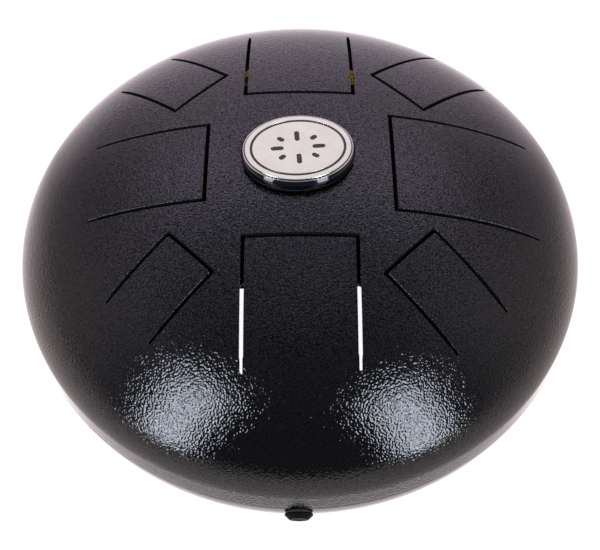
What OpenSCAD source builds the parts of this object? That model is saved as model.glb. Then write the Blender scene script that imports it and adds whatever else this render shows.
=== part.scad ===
// Steel tongue drum: a hollow body of two pressed steel domes with eight
// tongues cut into the upper one, standing on the ground-flat rim of the
// round sound port in its bottom.
// Frame: Z up, Z = 0 on the resting rim, X = Y = 0 on the body's axis.
// The player sits on the -Y side. Azimuths are counted from -Y towards +X.

/* [Body] */
// Outer radius of the body at its widest line
body_r = 152.5; // [150:0.5:158]
// Thickness of the pressed steel sheet
wall = 2.3; // [2:0.1:2.8]
// Height of the curved part of the upper dome
dome_h = 71; // [68:0.5:76]
// Height of the short straight skirt under the upper dome
skirt_h = 11; // [8:0.5:14]
// Full depth that the lower dome would have without its port
lower_h = 90; // [86:0.5:96]
// Exponent of the lower dome's outline (2 is an ellipse)
lower_n = 1.9; // [1.8:0.05:2.1]
// Height of the weld that joins the two domes
weld_h = 2.5; // [2:0.1:3.5]

/* [Sound port] */
// Radius of the round port in the bottom
port_r = 50; // [44:0.5:54]
// Depth ground off the port's edge, so that it rests flat
grind = 0.6; // [0.4:0.05:0.8]

/* [Slots] */
// Width of the slots
kerf = 1.9; // [1.5:0.1:2.4]
// Distance of the wide tongues' free ends from the axis
wide_in = 47; // [45:0.5:50]
// Distance of the narrow tongues' free ends from the axis
narrow_in = 74.5; // [73:0.5:77]
// Air gap at a tongue's root line, where it swings
root_gap = 0.1; // [0.08:0.01:0.2]
// Length that each slot runs on past the root line
run_on = 1.2; // [0.8:0.1:2]
// Width of the thin saw cut that each slot ends in
saw = 1.35; // [0.9:0.05:1.6]

/* [Wide tongues] */
// Width of the front tongue
front_w = 55; // [53:0.5:57]
// Distance of the front tongue's slot ends from the axis
front_end = 110.4; // [108:0.1:113]
// How much further the front tongue's right slot runs than its left one
front_skew = -1.4; // [-2:0.1:2]
// Width of the right tongue
right_w = 62; // [60:0.5:64]
// Distance of the right tongue's slot ends from the axis
right_end = 122.1; // [120:0.1:125]
// How much further the right tongue's right slot runs than its left one
right_skew = 1.1; // [-2:0.1:2]
// Width of the rear tongue
rear_w = 57; // [55:0.5:59]
// Distance of the rear tongue's slot ends from the axis
rear_end = 112.2; // [110:0.1:115]
// How much further the rear tongue's right slot runs than its left one
rear_skew = -0.9; // [-2:0.1:2]
// Width of the left tongue
left_w = 49.5; // [47:0.5:52]
// Distance of the left tongue's slot ends from the axis
left_end = 107.5; // [105:0.1:110]
// How much further the left tongue's right slot runs than its left one
left_skew = -0.7; // [-2:0.1:2]

/* [Narrow tongues] */
// Width of the front right tongue
front_right_w = 35.5; // [33:0.5:37]
// Distance of the front right tongue's slot ends from the axis
front_right_end = 122.5; // [120:0.1:125]
// How much further the front right tongue's right slot runs than its left one
front_right_skew = 1.5; // [-2:0.1:2]
// Width of the rear right tongue
rear_right_w = 37; // [34:0.5:38]
// Distance of the rear right tongue's slot ends from the axis
rear_right_end = 131.5; // [129:0.1:133]
// How much further the rear right tongue's right slot runs than its left one
rear_right_skew = 0.1; // [-2:0.1:2]
// Width of the rear left tongue
rear_left_w = 37; // [34:0.5:38]
// Distance of the rear left tongue's slot ends from the axis
rear_left_end = 123.3; // [121:0.1:126]
// How much further the rear left tongue's right slot runs than its left one
rear_left_skew = 0.5; // [-2:0.1:2]
// Width of the front left tongue
front_left_w = 32; // [30:0.5:35]
// Distance of the front left tongue's slot ends from the axis
front_left_end = 116.3; // [114:0.1:119]
// How much further the front left tongue's right slot runs than its left one
front_left_skew = 0.3; // [-2:0.1:2]

/* [Badge] */
// Half the length of the badge's puck
badge_a = 28.5; // [26:0.1:31]
// Half the width of the badge's puck
badge_b = 22.8; // [21:0.1:25]
// Height of the puck's rim over the crown
badge_h = 6.2; // [5:0.1:8]
// Width of the rim between the puck's side and the plate
badge_rim = 2.0; // [1.6:0.1:2.4]
// How far the puck's shoulder comes in at the top
badge_shoulder = 1; // [0.6:0.1:1.3]
// How far down the puck's shoulder starts
badge_shoulder_h = 2.2; // [1.5:0.1:3]
// How far the badge sits to the right of the axis (negative is left)
badge_x = -0.8; // [-1.5:0.1:1.5]
// How far the badge sits behind the axis (negative is in front)
badge_y = -0.6; // [-1.5:0.1:1.5]
// Turn of the badge, counterclockwise from above
badge_turn = 4.5; // [-6:0.5:6]
// Thickness of the metal plate in the puck
plate_t = 1.4; // [1.2:0.1:2]
// Thickness of the foam pad at the crown
pad_t = 0.6; // [0.4:0.1:1]

/* [Bumpers] */
// Radius of a bumper's base
bumper_r = 7; // [6:0.1:8]
// Radius of a bumper's tip
bumper_tip_r = 4.8; // [4:0.1:5.5]
// Height that a bumper stands off the body
bumper_h = 3.4; // [3:0.1:6]
// Depth of the bumpers' centres under the widest line
bumper_drop = 8.5; // [8.5:0.1:12]
// How far the three bumpers are turned about the axis
bumper_turn = -0.5; // [-3:0.5:3]

/* [Label] */
// Half the width of the label on the rear wall inside
label_half_w = 41; // [30:0.5:50]
// Height of the label
label_h = 11; // [10:0.5:20]

/* [Hidden] */

// one row for each tongue: azimuth, width, free end, slot ends, skew, and the
// lengths of the thin saw cuts at its left and right side
TONGUES = [
    [0, front_w, wide_in, front_end, front_skew, 6.9, 6.5],
    [45, front_right_w, narrow_in, front_right_end, front_right_skew, 5, 5],
    [90, right_w, wide_in, right_end, right_skew, 5, 5],
    [135, rear_right_w, narrow_in, rear_right_end, rear_right_skew, 4, 4],
    [180, rear_w, wide_in, rear_end, rear_skew, 4, 4],
    [225, rear_left_w, narrow_in, rear_left_end, rear_left_skew, 4, 4],
    [270, left_w, wide_in, left_end, left_skew, 5, 6],
    [315, front_left_w, narrow_in, front_left_end, front_left_skew, 5, 6]];

dome_steps = 46;
lower_steps = 40;

// lower dome: a point of its outline at parameter a, and its inverse
function low_pt(a, r, c) = [r * pow(cos(a), 2 / lower_n), -c * pow(sin(a), 2 / lower_n)];
function low_depth(x, r, c) = c * pow(1 - pow(x / r, lower_n), 1 / lower_n);
function low_radius(d, r, c) = r * pow(1 - pow(d / c, lower_n), 1 / lower_n);
function low_a_of_depth(d, c) = asin(pow(d / c, lower_n / 2));

in_r = body_r - wall;
in_lower_h = lower_h - wall;
// height of the widest line over the resting rim
eq_z = low_depth(port_r, body_r, lower_h) - grind;
crown_z = eq_z + skirt_h + dome_h;

// half outline of the upper dome's outside, from the weld up to the crown
function dome_pts(r, c) = [for (i = [0:dome_steps])
    let (a = 90 * i / dome_steps) [i == dome_steps ? 0 : r * cos(a), eq_z + skirt_h + c * sin(a)]];
// half outline of the lower dome, from depth d0 down to depth d1
function low_pts(r, c, d0, d1) = let (a0 = low_a_of_depth(d0, c), a1 = low_a_of_depth(d1, c))
    [for (i = [0:lower_steps]) let (p = low_pt(a0 + (a1 - a0) * i / lower_steps, r, c)) [p[0], eq_z + p[1]]];
function reversed(l) = [for (i = [len(l) - 1:-1:0]) l[i]];

// ---- steel ----

// the whole upper dome, with no slots
module dome_sheet() {
    rotate_extrude($fn = 180)
        polygon(concat(
            [[body_r, eq_z + weld_h / 2]],
            dome_pts(body_r, dome_h),
            reversed(dome_pts(in_r, dome_h - wall)),
            [[in_r, eq_z + weld_h / 2]]));
}

// everything under the upper dome's outer face and a hair's breadth more,
// for fitting the badge pad
fit_gap = 0.03;
module dome_filled() {
    rotate_extrude($fn = 180)
        polygon(concat([[0, eq_z], [body_r + fit_gap, eq_z]],
                       dome_pts(body_r + fit_gap, dome_h + fit_gap)));
}

function root_of(t) = t[3] - abs(t[4]) / 2 - run_on;
// where a slot ends, and where its thin saw cut starts, for its left (-1) or right (1) side
function end_of(t, s) = t[3] + s * t[4] / 2;
function saw_of(t, s) = end_of(t, s) - (s < 0 ? t[5] : t[6]);

// the cut that frees one tongue: a window as wide as the slots allow, and
// the two thin cuts running on past the root line
module tongue_window(t) {
    w = t[1]; rr = root_of(t);
    rotate([0, 0, t[0]]) translate([0, 0, eq_z + 24])
        for (s = [-1, 1]) {
            translate([s < 0 ? -(w + kerf) / 2 : -1, -saw_of(t, s), 0])
                cube([(w + kerf) / 2 + 1, saw_of(t, s) - t[2] + kerf / 2, dome_h]);
            translate([s < 0 ? -(w + saw) / 2 : -1, -rr - root_gap, 0])
                cube([(w + saw) / 2 + 1, rr + root_gap - saw_of(t, s) + 1, dome_h]);
            translate([s * w / 2 - saw / 2, -end_of(t, s), 0])
                cube([saw, end_of(t, s) - rr + 2, dome_h]);
        }
}

module tongue(t) {
    w = t[1]; rr = root_of(t);
    color("#17171a") intersection() {
        dome_sheet();
        rotate([0, 0, t[0]]) translate([0, 0, eq_z + 24]) {
            translate([-(w - kerf) / 2, -rr, 0])
                cube([w - kerf, rr - t[2] - kerf / 2, dome_h]);
            for (s = [-1, 1])
                translate([s < 0 ? -(w - saw) / 2 : 0, -rr, 0])
                    cube([(w - saw) / 2, rr - saw_of(t, s), dome_h]);
        }
    }
}

module upper_shell() {
    color("#17171a") difference() {
        dome_sheet();
        for (t = TONGUES) tongue_window(t);
    }
}

module lower_shell() {
    d_out = eq_z;
    color("#17171a") rotate_extrude($fn = 180)
        polygon(concat(
            low_pts(body_r, lower_h, weld_h / 2, d_out),
            [[port_r, 0], [port_r, eq_z - low_depth(port_r, in_r, in_lower_h)]],
            reversed(low_pts(in_r, in_lower_h, weld_h / 2, low_depth(port_r, in_r, in_lower_h) - 0.01))));
}

// the weld: ground flush outside, a low bead inside
module seam_weld() {
    color("#17171a") rotate_extrude($fn = 180)
        translate([0, eq_z]) {
            translate([in_r, -weld_h / 2]) square([wall, weld_h]);
            intersection() {
                translate([in_r, 0]) circle(r = weld_h / 2, $fn = 32);
                translate([in_r - weld_h, -weld_h / 2]) square([weld_h, weld_h]);
            }
        }
}

// ---- badge ----

module oval(a, b, n = 96) {
    polygon([for (i = [0:n - 1]) [a * cos(360 * i / n), b * sin(360 * i / n)]]);
}

base_z = crown_z + pad_t;
rim_z = crown_z + badge_h;
plate_a = badge_a - badge_rim;
plate_b = badge_b - badge_rim;
inlay_t = 0.6;

// the badge is laid on by hand, so it stands a little off the axis
module on_crown() {
    translate([badge_x, badge_y, 0]) rotate([0, 0, badge_turn]) children();
}

module badge_pad() {
    color("#202022") difference() {
        on_crown() translate([0, 0, crown_z - 4])
            linear_extrude(4 + pad_t) oval(badge_a - 0.9, badge_b - 0.9);
        dome_filled();
    }
}

module badge_base() {
    color("#0b0b0d") on_crown() difference() {
        union() {
            translate([0, 0, base_z])
                linear_extrude(rim_z - badge_shoulder_h - base_z) oval(badge_a, badge_b);
            translate([0, 0, rim_z - badge_shoulder_h])
                linear_extrude(badge_shoulder_h,
                               scale = [1 - badge_shoulder / badge_a, 1 - badge_shoulder / badge_b])
                    oval(badge_a, badge_b);
        }
        translate([0, 0, rim_z - plate_t])
            linear_extrude(plate_t + 1) oval(plate_a + 0.05, plate_b + 0.05);
    }
}

// plain design for the plate: an oval line and eight short round-ended bars
module inlay_shape() {
    difference() {
        oval(plate_a - 2.6, plate_b - 2.6);
        oval(plate_a - 3.8, plate_b - 3.8);
    }
    for (i = [0:7]) {
        wide = i % 2 == 0;
        len = wide ? 6.4 : 3.8;
        inner = wide ? 4.2 : 6.4;
        th = 45 * i;
        // the bars spread more along the oval's length than across it
        p = [(inner + len / 2) * cos(th) * 1.4, (inner + len / 2) * sin(th)];
        translate(p) rotate([0, 0, atan2(p[1], p[0])]) {
            square([len - 2.4, 2.4], center = true);
            for (s = [-1, 1]) translate([s * (len - 2.4) / 2, 0]) circle(r = 1.2, $fn = 32);
        }
    }
}

module badge_plate() {
    color("#d9d4d2") on_crown() difference() {
        translate([0, 0, rim_z - plate_t])
            linear_extrude(plate_t + 0.25) oval(plate_a, plate_b);
        translate([0, 0, rim_z + 0.25 - inlay_t])
            linear_extrude(inlay_t + 1) inlay_shape();
    }
}

module badge_inlay() {
    color("#4b474c") on_crown()
        translate([0, 0, rim_z + 0.25 - inlay_t]) linear_extrude(inlay_t) inlay_shape();
}

// ---- bumpers ----

// where a bumper sits on the lower dome, and how its axis leans
bump_x = low_radius(bumper_drop, body_r, lower_h);
bump_nr = pow(bump_x / body_r, lower_n - 1) / body_r;
bump_nz = pow(bumper_drop / lower_h, lower_n - 1) / lower_h;
bump_lean = atan2(bump_nz, bump_nr);
glue_t = 0.6;

// puts a thing whose axis is +Z on the flank, standing off the body
module on_flank(azimuth) {
    rotate([0, 0, azimuth + bumper_turn])
        translate([0, -bump_x, eq_z - bumper_drop])
            rotate([90 + bump_lean, 0, 0]) children();
}

module bumper(azimuth) {
    color("#1c1c1e") on_flank(azimuth)
        rotate_extrude($fn = 64)
            polygon([[0, glue_t], [bumper_r, glue_t], [bumper_r, glue_t + 0.7],
                     [bumper_tip_r + 0.35, bumper_h - 0.5],
                     [bumper_tip_r, bumper_h - 0.1], [bumper_tip_r - 0.5, bumper_h],
                     [0, bumper_h]]);
}

module lower_filled() {
    rotate_extrude($fn = 720)
        polygon(concat([[0, eq_z]],
                       low_pts(body_r + fit_gap, lower_h + fit_gap, 0.001, eq_z), [[0, 0]]));
}

module bumper_pads() {
    color("#d8d6cf") for (az = [0, 120, 240]) difference() {
        on_flank(az) translate([0, 0, -1.5]) cylinder(r = bumper_r - 0.5, h = 1.5 + glue_t, $fn = 64);
        lower_filled();
    }
}

// ---- label ----

module inside_label() {
    z1 = eq_z - weld_h / 2 - 0.5;
    glue = 0.08;
    color("#c8912b") intersection() {
        rotate_extrude($fn = 180)
            polygon(concat(
                low_pts(in_r - glue, in_lower_h - glue, 1, 30),
                reversed(low_pts(in_r - glue - 0.2, in_lower_h - glue - 0.2, 1, 30))));
        translate([-label_half_w, 0, z1 - label_h]) cube([2 * label_half_w, body_r, label_h]);
    }
}

upper_shell();
tongue(TONGUES[0]);  // tongue_front
tongue(TONGUES[1]);  // tongue_front_right
tongue(TONGUES[2]);  // tongue_right
tongue(TONGUES[3]);  // tongue_rear_right
tongue(TONGUES[4]);  // tongue_rear
tongue(TONGUES[5]);  // tongue_rear_left
tongue(TONGUES[6]);  // tongue_left
tongue(TONGUES[7]);  // tongue_front_left
lower_shell();
seam_weld();
badge_pad();
badge_base();
badge_plate();
badge_inlay();
bumper(0);  // bumper_front
bumper(120);  // bumper_rear_right
bumper(240);  // bumper_rear_left
bumper_pads();
inside_label();
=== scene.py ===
# Steel tongue drum: a hollow black-coated steel body with eight tongues cut into
# its upper dome, an oval metal badge at the crown, rubber bumpers on the flank and
# a round port underneath. Lengths below are in millimetres; objects are in metres.
import math
import bpy
import numpy as np
from mathutils import Matrix, Vector
from mathutils.geometry import delaunay_2d_cdt


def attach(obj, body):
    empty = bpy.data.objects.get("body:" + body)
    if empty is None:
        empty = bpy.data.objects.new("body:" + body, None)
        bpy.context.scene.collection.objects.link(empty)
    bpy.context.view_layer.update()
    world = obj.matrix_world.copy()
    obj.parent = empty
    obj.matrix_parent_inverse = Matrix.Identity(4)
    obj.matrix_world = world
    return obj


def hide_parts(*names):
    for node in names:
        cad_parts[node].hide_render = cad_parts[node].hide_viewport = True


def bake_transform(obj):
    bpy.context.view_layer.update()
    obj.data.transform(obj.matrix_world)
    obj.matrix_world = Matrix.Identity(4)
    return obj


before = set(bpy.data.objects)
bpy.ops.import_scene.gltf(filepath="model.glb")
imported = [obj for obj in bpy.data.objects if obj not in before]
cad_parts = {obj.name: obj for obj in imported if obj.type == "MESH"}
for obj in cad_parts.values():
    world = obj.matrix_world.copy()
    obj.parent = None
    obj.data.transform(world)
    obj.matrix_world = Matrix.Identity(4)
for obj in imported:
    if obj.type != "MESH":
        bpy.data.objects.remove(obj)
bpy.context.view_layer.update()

MM = 0.001

# ---------------------------------------------------------------- sizes (mm)
BODY_R, WALL = 152.5, 2.3
DOME_H, SKIRT_H = 71.0, 11.0
LOWER_H, LOWER_N = 90.0, 1.9
WELD_H = 2.5
PORT_R, GRIND = 50.0, 0.6
KERF = 1.9
RUN_ON = 1.2
WIDE_IN, NARROW_IN = 47.0, 74.5
SAW = 1.35         # width of the thin saw cut that each slot ends in
# body name, azimuth, width, free end, slot ends, skew, lengths of the left and right saw cuts
TONGUES = [
    ("tongue_front", 0, 55.0, WIDE_IN, 110.4, -1.4, 6.9, 6.5),
    ("tongue_front_right", 45, 35.5, NARROW_IN, 122.5, 1.5, 5.0, 5.0),
    ("tongue_right", 90, 62.0, WIDE_IN, 122.1, 1.1, 5.0, 5.0),
    ("tongue_rear_right", 135, 37.0, NARROW_IN, 131.5, 0.1, 4.0, 4.0),
    ("tongue_rear", 180, 57.0, WIDE_IN, 112.2, -0.9, 4.0, 4.0),
    ("tongue_rear_left", 225, 37.0, NARROW_IN, 123.3, 0.5, 4.0, 4.0),
    ("tongue_left", 270, 49.5, WIDE_IN, 107.5, -0.7, 5.0, 6.0),
    ("tongue_front_left", 315, 32.0, NARROW_IN, 116.3, 0.3, 5.0, 6.0),
]
BADGE_A, BADGE_B, BADGE_H, BADGE_RIM = 28.5, 22.8, 6.2, 2.0
BADGE_X, BADGE_Y, BADGE_TURN = -0.8, -0.6, 4.5
PLATE_T, PAD_T = 1.4, 0.6
PLATE_A, PLATE_B = BADGE_A - BADGE_RIM, BADGE_B - BADGE_RIM
BUMPER_R, BUMPER_TIP_R, BUMPER_H, BUMPER_DROP, GLUE_T = 7.0, 4.8, 3.4, 8.5, 0.6
BUMPER_TURN = -0.5
LABEL_HALF_W, LABEL_H = 41.0, 11.0

IN_R, IN_LOWER_H = BODY_R - WALL, LOWER_H - WALL


def low_depth(x, r, c):
    return c * (1 - (x / r) ** LOWER_N) ** (1 / LOWER_N)


def low_radius(d, r, c):
    return r * (1 - (np.asarray(d, float) / c) ** LOWER_N) ** (1 / LOWER_N)


EQ_Z = low_depth(PORT_R, BODY_R, LOWER_H) - GRIND
SKIRT_Z = EQ_Z + SKIRT_H
CROWN_Z = SKIRT_Z + DOME_H
RIM_Z = CROWN_Z + BADGE_H


def unit(v):
    v = np.asarray(v, float)
    return v / np.maximum(np.linalg.norm(v, axis=-1, keepdims=True), 1e-12)


def dome_point(xy, inner=False):
    """Points of the upper dome over plan points, with their outward normals."""
    r, h = (IN_R, DOME_H - WALL) if inner else (BODY_R, DOME_H)
    xy = np.asarray(xy, float)
    q = np.clip(1 - (xy ** 2).sum(-1) / r ** 2, 0, 1)
    z = h * np.sqrt(q)
    p = np.concatenate([xy, (SKIRT_Z + z)[..., None]], -1)
    n = unit(np.concatenate([xy / r ** 2, (z / h ** 2)[..., None]], -1))
    return p, (-n if inner else n)


# ---------------------------------------------------------------- mesh builder
class Build:
    """Collects points with normals and faces, and makes one object of them.
    A face is turned round if it disagrees with the normals it is given."""

    def __init__(self):
        self.p, self.n, self.faces, self.flat, self.mat, self.count = [], [], [], [], [], 0

    def add(self, p, n):
        p, n = np.asarray(p, float).reshape(-1, 3), np.asarray(n, float).reshape(-1, 3)
        ids = np.arange(self.count, self.count + len(p))
        self.p.append(p)
        self.n.append(n)
        self.count += len(p)
        return ids

    def face(self, ids, mat=0, flat=None):
        self.faces.append([int(i) for i in ids])
        self.flat.append(flat)
        self.mat.append(mat)

    def strip(self, a, b, closed=True, mat=0, flat=None):
        k = len(a)
        for i in range(k if closed else k - 1):
            j = (i + 1) % k
            self.face((a[i], a[j], b[j], b[i]), mat, flat)

    def make(self, name, mats):
        p, n = np.concatenate(self.p), unit(np.concatenate(self.n))
        faces, normals = [], []
        for ids, flat in zip(self.faces, self.flat):
            q = p[ids]
            g = np.zeros(3)
            for i in range(len(ids)):  # Newell's rule
                g += np.cross(q[i - 1] - q[0], q[i] - q[0])
            want = n[ids].mean(0) if flat is None else np.asarray(flat, float)
            if g @ want < 0:
                ids = ids[::-1]
                g = -g
            faces.append(ids)
            if flat is None:
                normals.append(n[ids])
            else:
                normals.append(np.repeat(unit(g)[None], len(ids), 0))
        mesh = bpy.data.meshes.new(name)
        mesh.from_pydata((p * MM).tolist(), [], faces)
        mesh.polygons.foreach_set("use_smooth", [True] * len(faces))
        mesh.polygons.foreach_set("material_index", self.mat)
        for m in mats:
            mesh.materials.append(m)
        mesh.update()
        mesh.normals_split_custom_set(np.concatenate(normals).tolist())
        obj = bpy.data.objects.new(name, mesh)
        bpy.context.scene.collection.objects.link(obj)
        return obj


def arc(centre, r, a0, a1, k):
    """Points of an arc and the directions away from its centre, angles in degrees."""
    a = np.radians(np.linspace(a0, a1, k + 1))
    d = np.stack([np.cos(a), np.sin(a)], -1)
    return np.asarray(centre, float) + r * d, d


def rounded(path, radii, k=5, closed=False):
    """A path of straight runs in a plane with its corners rounded off."""
    path = [np.asarray(p, float) for p in path]
    out, m = [], len(path)
    for i, p in enumerate(path):
        r = radii[i]
        if (not closed and i in (0, m - 1)) or r <= 0:
            out.append(p)
            continue
        a, b = unit(path[i - 1] - p), unit(path[(i + 1) % m] - p)
        half = math.acos(np.clip(a @ b, -1, 1)) / 2
        t = r / math.tan(half)
        c = p + unit(a + b) * r / math.sin(half)
        s, e = p + a * t - c, p + b * t - c
        w = math.acos(np.clip(unit(s) @ unit(e), -1, 1))
        for j in range(k + 1):
            f = j / k
            out.append(c + (math.sin((1 - f) * w) * s + math.sin(f * w) * e) / math.sin(w))
    return np.array(out)


def path_normals(path, closed=False, side=1):
    """Normals of a plane path, to its right for side 1 and to its left for -1."""
    q = np.asarray(path, float)
    if closed:
        d0, d1 = q - np.roll(q, 1, 0), np.roll(q, -1, 0) - q
    else:
        d = np.diff(q, axis=0)
        d0, d1 = np.concatenate([d[:1], d]), np.concatenate([d, d[-1:]])
    t = unit(unit(d0) + unit(d1))
    return side * np.stack([t[:, 1], -t[:, 0]], -1)


def revolve(b, path, nrm, segs, mat=0, closed=False, place=None, ripple=None):
    """Turns a path of (radius, height) round the Z axis; gives the rows' point ids."""
    th = 2 * np.pi * np.arange(segs) / segs
    c, s = np.cos(th), np.sin(th)
    rows = []
    for i, ((r, z), (nr, nz)) in enumerate(zip(path, nrm)):
        rr = np.full(segs, r) if ripple is None else r + ripple(i, th)
        if r < 1e-6:
            p, n = np.array([[0, 0, z]]), np.array([[0, 0, nz]])
        else:
            p = np.stack([rr * s, -rr * c, np.full(segs, z)], -1)
            n = np.stack([nr * s, -nr * c, np.full(segs, nz)], -1)
        if place is not None:
            p, n = place(p), place(n, True)
        rows.append(b.add(p, n))
    pairs = list(zip(rows, rows[1:])) + ([(rows[-1], rows[0])] if closed else [])
    for row, (u, v) in enumerate(pairs):
        if len(u) == 1 or len(v) == 1:
            one, ring = (u, v) if len(u) == 1 else (v, u)
            for i in range(segs):
                b.face((one[0], ring[i], ring[(i + 1) % segs]), mat)
        else:
            b.strip(u, v, True, mat(row) if callable(mat) else mat)
    return rows


def inside(poly, pts):
    """Which points lie inside a closed plane polygon."""
    x, y = pts[:, 0], pts[:, 1]
    hit = np.zeros(len(pts), bool)
    for (x0, y0), (x1, y1) in zip(poly, np.roll(poly, -1, 0)):
        if y0 == y1:
            continue
        m = (y0 > y) != (y1 > y)
        hit ^= m & (x < (x1 - x0) * (y - y0) / (y1 - y0) + x0)
    return hit


def triangulate(loops, chains, fill, name=""):
    """Points and edges of closed loops and open chains, with loose points of the plane added.
    Gives all points, the edges, and the point ids of each loop and chain."""
    pts, edges, ids = [], [], []
    for closed, group in ((True, loops), (False, chains)):
        for q in group:
            k = len(pts)
            pts += [tuple(v) for v in q]
            run = list(range(k, k + len(q)))
            ids.append(run)
            edges += list(zip(run, run[1:])) + ([(run[-1], run[0])] if closed else [])
    pts += [tuple(v) for v in fill]
    return pts, edges, ids


def cdt(pts, edges):
    _, _, tris, orig, _, _ = delaunay_2d_cdt([Vector(p) for p in pts], edges, [], 0, 1e-5)
    back = [o[0] if len(o) else -1 for o in orig]
    tri = np.array([[back[i] for i in t] for t in tris])
    return tri[(tri >= 0).all(1)]


# ---------------------------------------------------------------- the upper dome
EDGE = 0.25       # rounding of the coated slot edges
EDGE_K = 4
PLAN_R = 137.0    # inside this radius the dome is meshed in plan, outside it is turned


def slot_outline(w, ri, end, skew, saw_l, saw_r):
    """Closed outline of one U-shaped slot in (u, s): u across the tongue, s outwards.
    Each leg ends in a thinner saw cut. Gives points, normals into the steel, and the
    two places of the root line."""
    k2, hw = KERF / 2, w / 2
    e_l, e_r = end - skew / 2, end + skew / 2
    m_l, m_r = e_l - saw_l, e_r - saw_r
    rr = end - abs(skew) / 2 - RUN_ON
    step = 0.7        # half the length over which a slot narrows to its saw cut
    corners = [
        ((-hw - k2, e_l), 0.35), ((-hw - k2, ri - k2), 0.25), ((hw + k2, ri - k2), 0.25),
        ((hw + k2, e_r), 0.35), ((hw - k2, e_r), 0.35), ((hw - k2, ri + k2), 0.55),
        ((-hw + k2, ri + k2), 0.55), ((-hw + k2, e_l), 0.35)]
    stops_at = {0: (m_l + step, m_l - step), 2: (m_r - step, m_r + step),
                4: (rr, m_r + step, m_r - step), 6: (m_l - step, m_l + step, rr)}
    m = len(corners)
    pts, nrm, marks = [], [], {}
    for i in range(m):
        (c, r) = corners[i]
        c = np.array(c)
        d1 = unit(c - np.array(corners[i - 1][0]))
        d2 = unit(np.array(corners[(i + 1) % m][0]) - c)
        turn = d1[0] * d2[1] - d1[1] * d2[0]
        n1, n2 = np.array([d1[1], -d1[0]]), np.array([d2[1], -d2[0]])
        centre = c - d1 * r + (-n1 if turn > 0 else n1) * r
        for f in np.linspace(0, 1, 7):
            n = unit(math.cos(f * math.pi / 2) * n1 + math.sin(f * math.pi / 2) * n2)
            pts.append(centre + (n if turn > 0 else -n) * r)
            nrm.append(n)
        # the straight run to the next corner, with breaks at the root line and the saw cut
        nxt, rn = corners[(i + 1) % m]
        a, b = c + d2 * r, np.array(nxt) - d2 * rn
        stops = [a] + [np.array([a[0], v]) for v in stops_at.get(i, ())] + [b]
        for j in range(len(stops) - 1):
            p, q = stops[j], stops[j + 1]
            long = np.linalg.norm(q - p)
            k = 7 if abs(long - 2 * step) < 1e-6 else max(1, int(math.ceil(long / 1.25)))
            last = j == len(stops) - 2
            for t in range(1, k if last else k + 1):
                pts.append(p + (q - p) * t / k)
                nrm.append(n2)
                if t == k and abs(q[1] - rr) < 1e-9 and i in (4, 6):
                    marks[i] = len(pts) - 1
    pts, nrm = np.array(pts), np.array(nrm)
    # both sides of a leg come in to the saw cut's width
    for side, mid in ((-1, m_l), (1, m_r)):
        off = pts[:, 0] - side * hw
        leg = (np.abs(off) < k2 + 0.01) & (pts[:, 1] > mid - step)
        f = np.clip((pts[:, 1] - mid + step) / (2 * step), 0, 1)
        f = f * f * (3 - 2 * f)
        pts[leg, 0] -= (np.sign(off) * (k2 - SAW / 2) * f)[leg]
        bend = leg & (f > 0.001) & (f < 0.999)
        other = path_normals(pts, True)
        other *= np.sign((other * nrm).sum(1, keepdims=True))
        nrm[bend] = other[bend]
    return pts, nrm, marks[4], marks[6], rr


def to_plan(us, az):
    a = math.radians(az)
    t, r = np.array([math.cos(a), math.sin(a)]), np.array([math.sin(a), -math.cos(a)])
    us = np.asarray(us, float)
    return us[..., :1] * t + us[..., 1:] * r


def edge_rows(p, n):
    """Rows of points from the outer face round the slot's edge, down its wall and
    round to the inner face, for outline points p with normals n into the steel."""
    rows = []
    n3 = np.concatenate([n, np.zeros((len(n), 1))], 1)
    for inner in (False, True):
        some = []
        for k in range(EDGE_K + 1):
            t = k / EDGE_K * math.pi / 2
            q = p + EDGE * (1 - math.sin(t)) * n
            pt, nn = dome_point(q, inner)
            pt[:, 2] += (1 if inner else -1) * EDGE * (1 - math.cos(t))
            some.append((pt, unit(math.cos(t) * nn - math.sin(t) * n3)))
        rows += some[::-1] if inner else some
    return rows


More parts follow.
